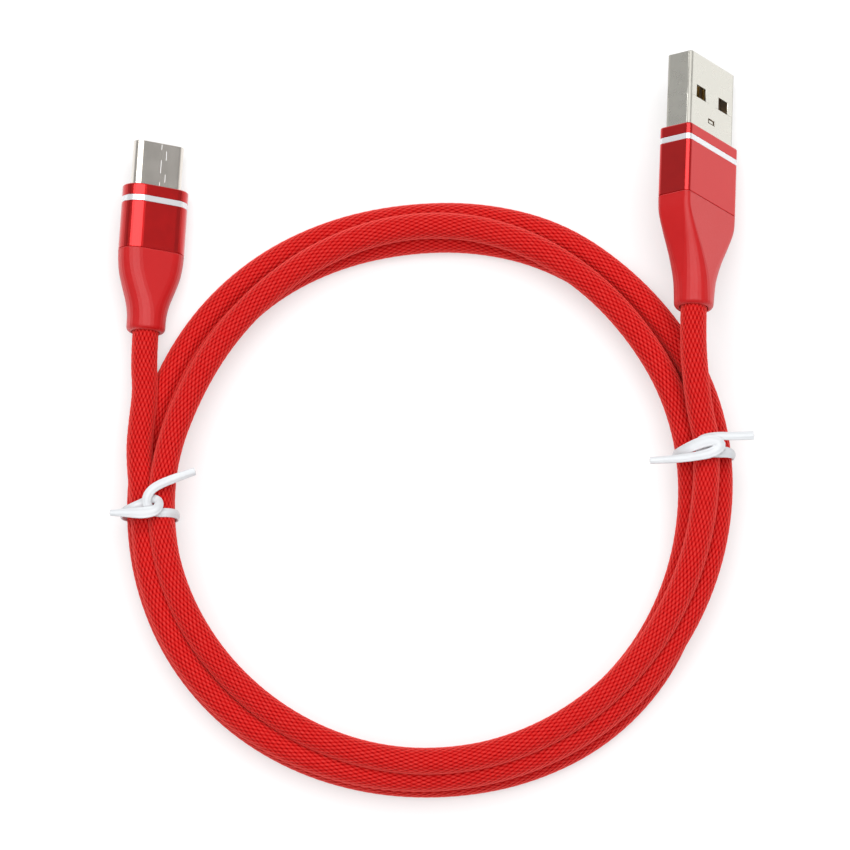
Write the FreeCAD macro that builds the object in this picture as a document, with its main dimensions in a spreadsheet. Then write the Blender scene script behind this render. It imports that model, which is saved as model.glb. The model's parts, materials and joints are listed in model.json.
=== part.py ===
# Braided charging cable, coiled in three and a half turns and held by two twist ties.
# A rectangular host plug is on one end and a small oval device plug on the other.
# Millimetres. +Z is up, and the surface that the cable lies on is at zero.
# Each plug is drawn along its own +Z, from the cord's exit to the mouth of the metal shell,
# with +X across its width and +Y out of its upper wide face, and is then laid in place.
import FreeCAD, Part
import math
import os
import Sketcher

Vector = FreeCAD.Vector
Rotation = FreeCAD.Rotation

doc = FreeCAD.newDocument("ChargingCable")
sheet = doc.addObject("Spreadsheet::Sheet", "Sizes")

# Driving dimensions, in millimetres and degrees.
SIZES = {
    # The cord and its coil. The bundle is the outer shape of the turns where they lie together.
    "cordDiameter": 4.0,
    "coilCentreRight": -1.03,
    "coilCentreAhead": -31.0,
    "coilRadius": 42.4,
    "bundleWidth": 8.4,
    "bundleHeight": 9.4,
    "bundleBevel": 2.4,
    # Where the cord leaves each plug, from the coil's centre, and how the plug lies.
    "hostExitRight": 40.88,
    "hostExitAhead": 27.1,
    "hostExitUp": 10.75,
    "hostHeading": 2.55,
    "hostDroop": 6.9,
    "hostRoll": 53.6,
    "deviceExitRight": -42.9,
    "deviceExitAhead": 25.0,
    "deviceExitUp": 3.9,
    "deviceHeading": 3.4,
    "deviceDroop": 0.0,
    "deviceRoll": 26.6,
    # Host plug.
    "hostBootLength": 16.7,
    "hostBootEnd": 6.06,
    "hostSleeveLength": 11.2,
    "hostSleeveSideRim": 0.8,
    "hostSleeveFlatRim": 0.65,
    "hostSleeveCorner": 0.8,
    "hostShellExposed": 12.3,
    "hostShellInserted": 5.5,
    "hostShellWidth": 12.0,
    "hostShellThickness": 4.5,
    "hostShellWall": 0.3,
    "hostShellCorner": 0.5,
    "hostWindowWidth": 2.5,
    "hostWindowLength": 2.0,
    "hostWindowOffset": 3.0,
    "hostWindowSetback": 5.16,
    "hostTabWidth": 1.8,
    "hostTabLength": 0.8,
    "hostTabSetback": 9.3,
    "hostTabSunk": 0.12,
    "hostMouthDepth": 9.0,
    "hostTongueThickness": 1.85,
    "hostTongueSetback": 0.4,
    "hostPadWidth": 1.0,
    "hostPadThickness": 0.25,
    "hostPadSunk": 0.1,
    "hostSupplyPadOffset": 3.5,
    "hostDataPadOffset": 1.0,
    "hostSupplyPadSetback": 1.1,
    "hostDataPadSetback": 2.1,
    "hostTailLength": 2.4,
    # Device plug.
    "deviceBootLength": 12.6,
    "deviceBootEnd": 6.0,
    "deviceSleeveLength": 10.1,
    "deviceSleeveSideRim": 1.175,
    "deviceSleeveFlatRim": 1.5,
    "deviceSleeveWall": 0.5,
    "deviceSleeveFront": 1.2,
    "deviceShellExposed": 7.2,
    "deviceShellInserted": 3.5,
    "deviceShellWidth": 8.25,
    "deviceShellThickness": 2.4,
    "deviceShellWall": 0.28,
    "deviceInsulatorSetback": 0.25,
    "deviceCavityWidth": 6.8,
    "deviceCavityHeight": 0.95,
    "deviceCavityDepth": 5.3,
    "leafPitch": 0.5,
    "leafWidth": 0.25,
    "leafThickness": 0.15,
    "leafLevel": 0.45,
    "leafRise": 0.15,
    "leafSetback": 1.3,
    "leafTail": 1.2,
    "latchOffset": 3.15,
    "latchThickness": 0.3,
    "latchHeight": 0.6,
    "latchLength": 5.6,
    "latchRoot": 6.9,
    "latchHook": 0.25,
    "springWidth": 5.2,
    "springLength": 3.0,
    "springThickness": 0.12,
    "springSetback": 0.8,
    "platePlanWidth": 6.0,
    "plateThickness": 0.2,
    "boardWidth": 7.2,
    "boardThickness": 0.6,
    "boardSetback": 2.4,
    "resistorWidth": 0.5,
    "resistorHeight": 0.35,
    "resistorLength": 1.0,
    # Both plugs.
    "bandSetback": 1.8,
    "bandWidth": 0.8,
    "bandDepth": 0.2,
    "edgeBreak": 0.15,
    "fitGap": 0.05,
    "moldGap": 0.1,
    "moldBackWall": 0.8,
    "jacketDiameter": 3.4,
    "crimpWall": 0.27,
    "crimpLength": 3.0,
    "bootRim": 0.6,
    "bootEndFlat": 0.84,
    "wireDiameter": 0.76,
    # Twist ties.
    "tieWidth": 1.3,
    "tieThickness": 0.85,
    "tieWireWidth": 0.4,
}

for row, (name, value) in enumerate(SIZES.items(), start=1):
    sheet.set(f"A{row}", name)
    sheet.set(f"B{row}", str(value))
    sheet.setAlias(f"B{row}", name)
doc.recompute()


def size(expression):
    """The number that an expression on the sheet's names gives."""
    return float(sheet.evalExpression(expression))


def full(expression):
    """The same expression as other objects of the document write it."""
    words = []
    word = ""
    for letter in expression + " ":
        if letter.isalnum():
            word += letter
            continue
        words.append(f"Sizes.{word}" if word in SIZES else word)
        words.append(letter)
        word = ""
    return "".join(words).strip()


# Levels along each plug, from the cord's exit.
HOST_BACK = "hostBootLength"
HOST_FRONT = "(hostBootLength + hostSleeveLength)"
HOST_MOUTH = "(hostBootLength + hostSleeveLength + hostShellExposed)"
HOST_SHELL_BACK = "(hostBootLength + hostSleeveLength - hostShellInserted)"
DEVICE_BACK = "deviceBootLength"
DEVICE_FRONT = "(deviceBootLength + deviceSleeveLength)"
DEVICE_MOUTH = "(deviceBootLength + deviceSleeveLength + deviceShellExposed)"
DEVICE_SHELL_BACK = "(deviceBootLength + deviceSleeveLength - deviceShellInserted)"

# Each sleeve stands round its shell by a rim.
WIDE = {plug: f"({plug}ShellWidth + 2 * {plug}SleeveSideRim)" for plug in ("host", "device")}
HIGH = {plug: f"({plug}ShellThickness + 2 * {plug}SleeveFlatRim)" for plug in ("host", "device")}
OVAL_CORNER = f"({HIGH['device']} * 0.49)"


def plug_placement(plug):
    """Lays a plug drawn along +Z at its exit, by its heading, droop and roll."""
    turn = Rotation(Vector(0, 0, 1), -size(f"{plug}Heading"))
    turn = turn.multiply(Rotation(Vector(1, 0, 0), -90 - size(f"{plug}Droop")))
    turn = turn.multiply(Rotation(Vector(0, 0, 1), 180 + size(f"{plug}Roll")))
    exit_point = Vector(
        size(f"coilCentreRight + {plug}ExitRight"),
        size(f"coilCentreAhead + {plug}ExitAhead"),
        size(f"{plug}ExitUp"),
    )
    return FreeCAD.Placement(exit_point, turn)


PLACES = {"host": plug_placement("host"), "device": plug_placement("device")}
nodes = []


def new_body(label, plug):
    body = doc.addObject("PartDesign::Body", label)
    body.Label = label
    body.Placement = PLACES[plug]
    nodes.append(body)
    return body


def new_feature(label, shape, place=None):
    feature = doc.addObject("Part::Feature", label)
    feature.Label = label
    feature.Shape = shape
    if place is not None:
        feature.Placement = place
    nodes.append(feature)
    return feature


def sketch_on(body, role, level="0", right="0"):
    """An empty sketch on one of the body's own planes, moved along the plane's normal and x."""
    plane = next(f for f in body.Origin.OriginFeatures if f.Role == role)
    sketch = body.newObject("Sketcher::SketchObject", body.Name + "Sketch")
    sketch.AttachmentSupport = (plane, [""])
    sketch.MapMode = "FlatFace"
    sketch.setExpression("AttachmentOffset.Base.z", full(level))
    sketch.setExpression("AttachmentOffset.Base.x", full(right))
    return sketch


def bind(sketch, index, name, expression):
    sketch.renameConstraint(index, name)
    sketch.setExpression("Constraints." + name, full(expression))


def add_frame(sketch, wide, high):
    """Four lines round the middle of a rectangle, and the constraints that hold them."""
    x, y = size(wide) / 2, size(high) / 2
    corners = [Vector(-x, -y), Vector(x, -y), Vector(x, y), Vector(-x, y)]
    for k in range(4):
        sketch.addGeometry(Part.LineSegment(corners[k], corners[(k + 1) % 4]))
    for k in range(4):
        sketch.addConstraint(Sketcher.Constraint("Coincident", k, 2, (k + 1) % 4, 1))
    for k in (0, 2):
        sketch.addConstraint(Sketcher.Constraint("Horizontal", k))
        sketch.addConstraint(Sketcher.Constraint("Vertical", k + 1))
    sketch.addConstraint(Sketcher.Constraint("Symmetric", 0, 1, 2, 1, -1, 1))
    across = sketch.addConstraint(Sketcher.Constraint("DistanceX", 0, 1, 0, 2, 2 * x))
    bind(sketch, across, "wide", wide)
    up = sketch.addConstraint(Sketcher.Constraint("DistanceY", 1, 1, 1, 2, 2 * y))
    bind(sketch, up, "high", high)


def rectangle(body, wide, high, level="0", right="0", role="XY_Plane"):
    sketch = sketch_on(body, role, level, right)
    add_frame(sketch, wide, high)
    return sketch


def rounded(body, wide, high, corner, level="0"):
    """A rectangle round the plug's axis with four equal corner arcs."""
    sketch = sketch_on(body, "XY_Plane", level)
    x, y, r = size(wide) / 2, size(high) / 2, size(corner)
    quarter = math.pi / 2
    centres = [Vector(x - r, -y + r), Vector(x - r, y - r), Vector(-x + r, y - r), Vector(-x + r, -y + r)]
    starts = [Vector(-x + r, -y), Vector(x, -y + r), Vector(x - r, y), Vector(-x, y - r)]
    ends = [Vector(x - r, -y), Vector(x, y - r), Vector(-x + r, y), Vector(-x, -y + r)]
    for k in range(4):
        sketch.addGeometry(Part.LineSegment(starts[k], ends[k]))
        circle = Part.Circle(centres[k], Vector(0, 0, 1), r)
        sketch.addGeometry(Part.ArcOfCircle(circle, (k - 1) * quarter, k * quarter))
    for k in range(4):
        line, arc, following = 2 * k, 2 * k + 1, (2 * k + 2) % 8
        sketch.addConstraint(Sketcher.Constraint("Tangent", line, 2, arc, 1))
        sketch.addConstraint(Sketcher.Constraint("Tangent", arc, 2, following, 1))
        if k:
            sketch.addConstraint(Sketcher.Constraint("Equal", 1, arc))
    sketch.addConstraint(Sketcher.Constraint("Horizontal", 0))
    sketch.addConstraint(Sketcher.Constraint("Symmetric", 1, 3, 5, 3, -1, 1))
    radius = sketch.addConstraint(Sketcher.Constraint("Radius", 1, r))
    bind(sketch, radius, "corner", corner)
    across = sketch.addConstraint(Sketcher.Constraint("DistanceX", 6, 1, 2, 1, 2 * x))
    bind(sketch, across, "wide", wide)
    up = sketch.addConstraint(Sketcher.Constraint("DistanceY", 0, 1, 4, 1, 2 * y))
    bind(sketch, up, "high", high)
    return sketch


CORNER_FACETS = 3


def faceted(body, wide, high, corner, level="0"):
    """The same outline with each corner arc as a guide, and equal chords drawn along it."""
    sketch = rounded(body, wide, high, corner, level)
    for arc in (1, 3, 5, 7):
        curve = sketch.Geometry[arc]
        sketch.toggleConstruction(arc)
        low, high_end = curve.FirstParameter, curve.LastParameter
        spots = [curve.value(low + (high_end - low) * k / CORNER_FACETS) for k in range(CORNER_FACETS + 1)]
        first = sketch.GeometryCount
        for k in range(CORNER_FACETS):
            sketch.addGeometry(Part.LineSegment(spots[k], spots[k + 1]))
        sketch.addConstraint(Sketcher.Constraint("Coincident", first, 1, arc, 1))
        for k in range(first + 1, first + CORNER_FACETS):
            sketch.addConstraint(Sketcher.Constraint("Coincident", k, 1, k - 1, 2))
            sketch.addConstraint(Sketcher.Constraint("PointOnObject", k, 1, arc))
            sketch.addConstraint(Sketcher.Constraint("Equal", first, k))
        sketch.addConstraint(Sketcher.Constraint("Coincident", first + CORNER_FACETS - 1, 2, arc, 2))
    return sketch


def round_spot(body, diameter, level="0"):
    sketch = sketch_on(body, "XY_Plane", level)
    sketch.addGeometry(Part.Circle(Vector(0, 0, 0), Vector(0, 0, 1), size(diameter) / 2))
    sketch.addConstraint(Sketcher.Constraint("Coincident", 0, 3, -1, 1))
    across = sketch.addConstraint(Sketcher.Constraint("Diameter", 0, size(diameter)))
    bind(sketch, across, "across", diameter)
    return sketch


def pad(body, sketch, length, reversed_way=False, symmetric=False):
    made = body.newObject("PartDesign::Pad", body.Name + "Pad")
    made.Profile = sketch
    made.SideType = "Symmetric" if symmetric else "One side"
    made.Reversed = reversed_way
    made.setExpression("Length", full(length))
    doc.recompute()
    return made


def pocket(body, sketch, length, reversed_way=False, symmetric=False):
    """Cuts against the sketch's normal, or along it if reversed, and has to take something away."""
    before = body.Shape.Volume
    made = body.newObject("PartDesign::Pocket", body.Name + "Pocket")
    made.Profile = sketch
    made.SideType = "Symmetric" if symmetric else "One side"
    made.Reversed = reversed_way
    made.setExpression("Length", full(length))
    doc.recompute()
    if not body.Shape.Volume < before:
        raise RuntimeError(f"a pocket of {body.Label} cut nothing")
    return made


def rim_edges(body, level):
    """Names of the edges of the outline at a level, along the plug."""
    own = body.Tip.Shape
    at = size(level)
    rims = []
    for face in own.Faces:
        box = face.BoundBox
        if abs(box.ZMin - at) < 1e-6 and abs(box.ZMax - at) < 1e-6:
            rims += face.OuterWire.Edges
    return [f"Edge{k}" for k, edge in enumerate(own.Edges, start=1) if any(edge.isSame(r) for r in rims)]


def break_edges(body, level, by="edgeBreak"):
    """Bevels the outline at a level."""
    base = body.Tip
    names = rim_edges(body, level)
    made = body.newObject("PartDesign::Chamfer", body.Name + "Edge")
    made.Base = (base, names)
    made.setExpression("Size", full(by))
    doc.recompute()
    return made


def loft(body, sections):
    made = body.newObject("PartDesign::AdditiveLoft", body.Name + "Loft")
    made.Profile = sections[0]
    made.Sections = sections[1:]
    doc.recompute()
    return made


# Each boot's outline at shares of its length from the sleeve: how far it has gone from the
# sleeve's own outline to the round end.
BOOT_SHAPES = {
    "host": [(0.0, 0.0), (0.155, 0.05), (0.32, 0.3), (0.52, 0.65), (0.72, 0.9), (0.89, 0.985), (1.0, 1.0)],
    "device": [(0.0, 0.0), (0.15, 0.05), (0.3, 0.17), (0.457, 0.446), (0.64, 0.795), (0.8, 0.98), (1.0, 1.0)],
}


def boot(label, plug, corner):
    """A moulded boot that narrows from the sleeve's outline to a round end, with a bore for the cord."""
    body = new_body(label, plug)
    sections = []
    for along, share in BOOT_SHAPES[plug]:
        level = f"{plug}BootLength * {round(1 - along, 4)}"
        wide = f"{WIDE[plug]} + ({plug}BootEnd - {WIDE[plug]}) * {share}"
        high = f"{HIGH[plug]} + ({plug}BootEnd - {HIGH[plug]}) * {share}"
        round_off = f"{corner} + (({plug}BootEnd - bootEndFlat) / 2 - {corner}) * {share}"
        sections.append(faceted(body, wide, high, round_off, level))
    loft(body, sections)
    break_edges(body, "0", "bootRim")
    bore = round_spot(body, "cordDiameter + 2 * fitGap", f"{plug}BootLength")
    pocket(body, bore, f"{plug}BootLength")
    return body


def cord_end(label, plug):
    """The end of the cord in the boot, with its braid stripped back where the ferrule grips it."""
    body = new_body(label, plug)
    braided = round_spot(body, "cordDiameter")
    pad(body, braided, f"{plug}BootLength - crimpLength")
    stripped = round_spot(body, "jacketDiameter", f"{plug}BootLength - crimpLength")
    pad(body, stripped, "crimpLength + moldBackWall")
    return body


def crimp(label, plug):
    """A ferrule crimped round the jacket, half in the boot and half in the inner moulding's wall."""
    body = new_body(label, plug)
    outside = round_spot(body, "jacketDiameter + 2 * crimpWall", f"{plug}BootLength - crimpLength")
    pad(body, outside, "crimpLength + moldBackWall / 2")
    inside = round_spot(body, "jacketDiameter + fitGap", f"{plug}BootLength + moldBackWall")
    pocket(body, inside, "crimpLength + 2 * moldBackWall")
    return body


def groove(body, plug, corner, front):
    """The groove round a sleeve that the bright band lies in."""
    floor = f"{WIDE[plug]} - 2 * bandDepth", f"{HIGH[plug]} - 2 * bandDepth"
    sketch = rounded(body, *floor, f"{corner} - bandDepth", f"{front} - bandSetback")
    add_outer_frame(sketch, f"{WIDE[plug]} + 2", f"{HIGH[plug]} + 2")
    return pocket(body, sketch, "bandWidth")


def add_outer_frame(sketch, wide, high):
    """A rectangle round what the sketch already holds."""
    first = sketch.GeometryCount
    x, y = size(wide) / 2, size(high) / 2
    corners = [Vector(-x, -y), Vector(x, -y), Vector(x, y), Vector(-x, y)]
    for k in range(4):
        sketch.addGeometry(Part.LineSegment(corners[k], corners[(k + 1) % 4]))
    for k in range(4):
        sketch.addConstraint(Sketcher.Constraint("Coincident", first + k, 2, first + (k + 1) % 4, 1))
    for k in (0, 2):
        sketch.addConstraint(Sketcher.Constraint("Horizontal", first + k))
        sketch.addConstraint(Sketcher.Constraint("Vertical", first + k + 1))
    sketch.addConstraint(Sketcher.Constraint("Symmetric", first, 1, first + 2, 1, -1, 1))
    across = sketch.addConstraint(Sketcher.Constraint("DistanceX", first, 1, first, 2, 2 * x))
    bind(sketch, across, "outerWide", wide)
    up = sketch.addConstraint(Sketcher.Constraint("DistanceY", first + 1, 1, first + 1, 2, 2 * y))
    bind(sketch, up, "outerHigh", high)


def trim_ring(label, plug, corner, front):
    """The bright band, seated in the sleeve's groove and flush with the sleeve."""
    body = new_body(label, plug)
    level = f"{front} - bandSetback - bandWidth + fitGap / 2"
    outside = rounded(body, WIDE[plug], HIGH[plug], corner, level)
    pad(body, outside, "bandWidth - fitGap")
    hole = rounded(
        body,
        f"{WIDE[plug]} - 2 * bandDepth",
        f"{HIGH[plug]} - 2 * bandDepth",
        f"{corner} - bandDepth",
        f"{front} - bandSetback",
    )
    pocket(body, hole, "bandWidth * 2")
    return body


# Host plug.
def host_sleeve():
    body = new_body("host_sleeve", "host")
    outside = rounded(body, WIDE["host"], HIGH["host"], "hostSleeveCorner", HOST_BACK)
    pad(body, outside, "hostSleeveLength")
    break_edges(body, HOST_FRONT)
    groove(body, "host", "hostSleeveCorner", HOST_FRONT)
    opening = rounded(
        body,
        "hostShellWidth + 2 * fitGap",
        "hostShellThickness + 2 * fitGap",
        "hostShellCorner + fitGap",
        HOST_FRONT,
    )
    pocket(body, opening, "hostSleeveLength")


def host_shell():
    body = new_body("host_shell", "host")
    outside = rounded(body, "hostShellWidth", "hostShellThickness", "hostShellCorner", HOST_SHELL_BACK)
    pad(body, outside, "hostShellExposed + hostShellInserted")
    break_edges(body, HOST_MOUTH)
    inside = rounded(
        body,
        "hostShellWidth - 2 * hostShellWall",
        "hostShellThickness - 2 * hostShellWall",
        "hostShellCorner - hostShellWall",
        HOST_MOUTH,
    )
    pocket(body, inside, "hostShellExposed + hostShellInserted")
    middle = f"{HOST_MOUTH} - hostWindowSetback - hostWindowLength / 2"
    for side in (-1, 1):
        window = rectangle(
            body, "hostWindowWidth", "hostWindowLength", "0", f"{side} * hostWindowOffset", "XZ_Plane"
        )
        window.setExpression("AttachmentOffset.Base.y", full(middle))
        pocket(body, window, "2 * hostShellThickness", symmetric=True)
    slot = rectangle(body, "hostTabWidth", "hostTabLength", "0", "0", "XZ_Plane")
    slot.setExpression("AttachmentOffset.Base.y", full(f"{HOST_MOUTH} - hostTabSetback - hostTabLength / 2"))
    pocket(body, slot, "hostShellThickness")
    sunk = "hostTabSunk - hostShellThickness / 2"
    tab = rectangle(body, "hostTabWidth * 0.6", "hostTabLength * 0.6", sunk, "0", "XZ_Plane")
    tab.setExpression("AttachmentOffset.Base.y", full(f"{HOST_MOUTH} - hostTabSetback - hostTabLength * 0.7"))
    pad(body, tab, "hostShellWall - hostTabSunk", reversed_way=False)


def tongue_top():
    return "(hostTongueThickness - hostShellThickness / 2 + hostShellWall + fitGap)"


def host_insulator():
    """The rear block and the tongue that carries the four pads, one moulding."""
    body = new_body("host_insulator", "host")
    wide = "hostShellWidth - 2 * hostShellWall - 2 * fitGap"
    high = "hostShellThickness - 2 * hostShellWall - 2 * fitGap"
    corner = "hostShellCorner - hostShellWall"
    block = rounded(body, wide, high, corner, f"{HOST_SHELL_BACK} + hostShellWall")
    pad(body, block, "hostShellExposed + hostShellInserted - hostMouthDepth - hostShellWall")
    tongue = rounded(body, wide, "hostTongueThickness", corner, f"{HOST_MOUTH} - hostMouthDepth")
    tongue.setExpression("AttachmentOffset.Base.y", full(f"{tongue_top()} - hostTongueThickness / 2"))
    pad(body, tongue, "hostMouthDepth - hostTongueSetback")
    for side in (-1, 1):
        for offset in ("hostSupplyPadOffset", "hostDataPadOffset"):
            channel = rectangle(
                body,
                "hostPadWidth + 2 * fitGap",
                "hostPadThickness + fitGap",
                f"{HOST_MOUTH} - hostTongueSetback - hostPadWidth / 2",
                f"{side} * {offset}",
            )
            lift = f"{tongue_top()} - hostPadSunk + (hostPadThickness + fitGap) / 2"
            channel.setExpression("AttachmentOffset.Base.y", full(lift))
            pocket(body, channel, "hostShellExposed + hostShellInserted")


def host_pads():
    """Four flat contacts on the tongue. Supply and ground reach nearer to the mouth, so they meet first."""
    rows = [
        ("host_pad_ground", -1, "hostSupplyPadOffset", "hostSupplyPadSetback"),
        ("host_pad_data_plus", -1, "hostDataPadOffset", "hostDataPadSetback"),
        ("host_pad_data_minus", 1, "hostDataPadOffset", "hostDataPadSetback"),
        ("host_pad_supply", 1, "hostSupplyPadOffset", "hostSupplyPadSetback"),
    ]
    for label, side, offset, setback in rows:
        body = new_body(label, "host")
        start = f"{HOST_SHELL_BACK} + hostShellWall - hostTailLength"
        strip = rectangle(body, "hostPadWidth", "hostPadThickness", start, f"{side} * {offset}")
        lift = f"{tongue_top()} - hostPadSunk + hostPadThickness / 2"
        strip.setExpression("AttachmentOffset.Base.y", full(lift))
        reach = f"{HOST_MOUTH} - {setback} - ({start})"
        pad(body, strip, reach)


def host_inner_mold():
    """The moulding in the sleeve, hollow where the wires spread out to the contact tails."""
    body = new_body("host_inner_mold", "host")
    outside = rounded(
        body,
        "hostShellWidth",
        "hostShellThickness",
        "hostShellCorner",
        HOST_BACK,
    )
    pad(body, outside, "hostSleeveLength - hostShellInserted - moldGap")
    room = rectangle(
        body,
        "hostShellWidth - 4 * hostShellWall",
        "hostShellThickness - 4 * hostShellWall",
        f"{HOST_SHELL_BACK} - moldGap",
    )
    pocket(body, room, "hostSleeveLength - hostShellInserted - moldGap - moldBackWall")
    hole = round_spot(body, "jacketDiameter + 2 * crimpWall + fitGap", f"{HOST_BACK} + moldBackWall")
    pocket(body, hole, "2 * moldBackWall")


# Device plug.
def device_sleeve():
    body = new_body("device_sleeve", "device")
    outside = rounded(body, WIDE["device"], HIGH["device"], OVAL_CORNER, DEVICE_BACK)
    pad(body, outside, "deviceSleeveLength")
    break_edges(body, DEVICE_FRONT)
    groove(body, "device", OVAL_CORNER, DEVICE_FRONT)
    room = rounded(
        body,
        f"{WIDE['device']} - 2 * deviceSleeveWall",
        f"{HIGH['device']} - 2 * deviceSleeveWall",
        f"({HIGH['device']} - 2 * deviceSleeveWall) * 0.49",
        f"{DEVICE_FRONT} - deviceSleeveFront",
    )
    pocket(body, room, "deviceSleeveLength")
    opening = rounded(
        body,
        "deviceShellWidth + 2 * fitGap",
        "deviceShellThickness + 2 * fitGap",
        "(deviceShellThickness + 2 * fitGap) * 0.49",
        DEVICE_FRONT,
    )
    pocket(body, opening, "deviceSleeveFront * 2")


def device_shell():
    body = new_body("device_shell", "device")
    outside = rounded(
        body, "deviceShellWidth", "deviceShellThickness", "deviceShellThickness * 0.49", DEVICE_SHELL_BACK
    )
    pad(body, outside, "deviceShellExposed + deviceShellInserted")
    break_edges(body, DEVICE_MOUTH)
    inside = rounded(
        body,
        "deviceShellWidth - 2 * deviceShellWall",
        "deviceShellThickness - 2 * deviceShellWall",
        "(deviceShellThickness - 2 * deviceShellWall) * 0.49",
        DEVICE_MOUTH,
    )
    pocket(body, inside, "deviceShellExposed + deviceShellInserted")


DEVICE_INSIDE_WIDTH = "(deviceShellWidth - 2 * deviceShellWall - 2 * fitGap)"
DEVICE_INSIDE_HEIGHT = "(deviceShellThickness - 2 * deviceShellWall - 2 * fitGap)"
DEVICE_INSULATOR_FRONT = f"({DEVICE_MOUTH} - deviceInsulatorSetback)"
UPPER_LEAVES = (1, 4, 5, 6, 7, 9, 12)
LOWER_LEAVES = (1, 4, 5, 9, 12)
LEAF_PLACES = 12


def leaf_centre(number, row):
    """Where one of the twelve places of a row lies across the plug. The rows run opposite ways."""
    return row * (number - (LEAF_PLACES + 1) / 2) * size("leafPitch")


def device_insulator():
    """The moulding that lines the shell, with the mating slot, the contact channels and the latch slot."""
    body = new_body("device_insulator", "device")
    outside = rounded(
        body,
        DEVICE_INSIDE_WIDTH,
        DEVICE_INSIDE_HEIGHT,
        f"{DEVICE_INSIDE_HEIGHT} * 0.49",
        f"{DEVICE_SHELL_BACK} + deviceShellWall",
    )
    pad(body, outside, "deviceShellExposed + deviceShellInserted - deviceShellWall - deviceInsulatorSetback")
    cavity = rounded(
        body, "deviceCavityWidth", "deviceCavityHeight", "deviceCavityHeight * 0.4", DEVICE_INSULATOR_FRONT
    )
    pocket(body, cavity, "deviceCavityDepth")
    slot = rectangle(body, "deviceShellWidth", "latchHeight + 2 * fitGap", DEVICE_INSULATOR_FRONT)
    pocket(body, slot, "latchRoot - deviceInsulatorSetback + fitGap")
    plate = rectangle(body, "platePlanWidth + 2 * fitGap", "plateThickness + 2 * fitGap", DEVICE_INSULATOR_FRONT)
    pocket(body, plate, "deviceShellExposed + deviceShellInserted")
    channels = sketch_on(body, "XY_Plane", f"{DEVICE_MOUTH} - leafSetback + 2 * fitGap")
    half = size("leafWidth / 2 + fitGap")
    low, high = size("leafLevel - leafRise - fitGap"), size("leafLevel + leafThickness + fitGap")
    for leaves, row in ((UPPER_LEAVES, 1), (LOWER_LEAVES, -1)):
        for number in leaves:
            x = leaf_centre(number, row)
            corners = [
                Vector(x - half, row * low),
                Vector(x + half, row * low),
                Vector(x + half, row * high),
                Vector(x - half, row * high),
            ]
            for k in range(4):
                channels.addGeometry(Part.LineSegment(corners[k], corners[(k + 1) % 4]))
    pocket(body, channels, "deviceShellExposed + deviceShellInserted")
    for side in (-1, 1):
        recess = rectangle(
            body,
            "springWidth + 2 * fitGap",
            "springThickness + fitGap",
            f"{DEVICE_MOUTH} - springSetback + fitGap",
        )
        lift = f"{side} * ({DEVICE_INSIDE_HEIGHT} / 2 - (springThickness + fitGap) / 2)"
        recess.setExpression("AttachmentOffset.Base.y", full(lift))
        pocket(body, recess, "springLength + 2 * fitGap")


def leaf_row(label, leaves, row):
    """A row of leaf contacts, each a bent strip with a raised contact point near its free end."""
    level, rise, thick = size("leafLevel"), size("leafRise"), size("leafThickness")
    tail = size(f"{DEVICE_SHELL_BACK} - leafTail")
    end = size(f"{DEVICE_MOUTH} - leafSetback")
    bump = [(0.0, 0.6), (0.5, 1.0), (0.9, 1.0), (1.7, 0.0)]
    inner = [(tail, level)] + [(end - back, level - rise * share) for back, share in reversed(bump)]
    outer = [(z, y + thick) for z, y in reversed(inner)]
    outline = [Vector(0, row * y, z) for z, y in inner + outer]
    face = Part.Face(Part.makePolygon(outline + outline[:1]))
    strips = []
    for number in leaves:
        strip = face.extrude(Vector(size("leafWidth"), 0, 0))
        strip.translate(Vector(leaf_centre(number, row) - size("leafWidth / 2"), 0, 0))
        strips.append(strip)
    new_feature(label, Part.makeCompound(strips), PLACES["device"])


def device_mid_plate():
    """The grounding plate between the two rows of contacts."""
    body = new_body("device_mid_plate", "device")
    back = f"{DEVICE_SHELL_BACK} + deviceShellWall / 2"
    outline = rectangle(body, "platePlanWidth", "plateThickness", back)
    pad(body, outline, f"{DEVICE_INSULATOR_FRONT} - deviceCavityDepth - fitGap - ({back})")


def device_latch(label, side):
    """A side latch: a sprung arm whose hook catches the socket's tongue."""
    body = new_body(label, "device")
    root = size(f"{DEVICE_MOUTH} - latchRoot")
    end = root + size("latchLength")
    inner, thick, hook = size("latchOffset"), size("latchThickness"), size("latchHook")
    outline = [
        (inner, root),
        (inner + thick, root),
        (inner + thick, end),
        (inner + 0.4 * thick, end),
        (inner - hook, end - 2 * hook),
        (inner - hook, end - 3 * hook),
        (inner, end - 4 * hook),
    ]
    sketch = sketch_on(body, "XZ_Plane")
    points = [Vector(side * x, z) for x, z in outline]
    for k in range(len(points)):
        sketch.addGeometry(Part.LineSegment(points[k], points[(k + 1) % len(points)]))
    pad(body, sketch, "latchHeight", symmetric=True)


def device_spring(label, side):
    """A shield spring that lies in the insulator's outer face, with three open windows."""
    body = new_body(label, "device")
    level = f"{DEVICE_MOUTH} - springSetback - springLength"
    plate = rectangle(body, "springWidth", "springThickness", level)
    lift = f"{side} * ({DEVICE_INSIDE_HEIGHT} / 2 - springThickness / 2)"
    plate.setExpression("AttachmentOffset.Base.y", full(lift))
    pad(body, plate, "springLength")
    for step in (-1, 0, 1):
        window = rectangle(
            body, "springWidth / 6", "springLength / 2", "0", f"{step} * springWidth / 3", "XZ_Plane"
        )
        window.setExpression("AttachmentOffset.Base.y", full(f"{level} + springLength / 2"))
        pocket(body, window, "2 * deviceShellThickness", symmetric=True)


def device_board():
    body = new_body("device_board", "device")
    outline = rectangle(body, "boardWidth", "boardThickness", f"{DEVICE_BACK} + boardSetback")
    pad(body, outline, "deviceSleeveLength - deviceShellInserted - boardSetback - 4 * fitGap")


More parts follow.
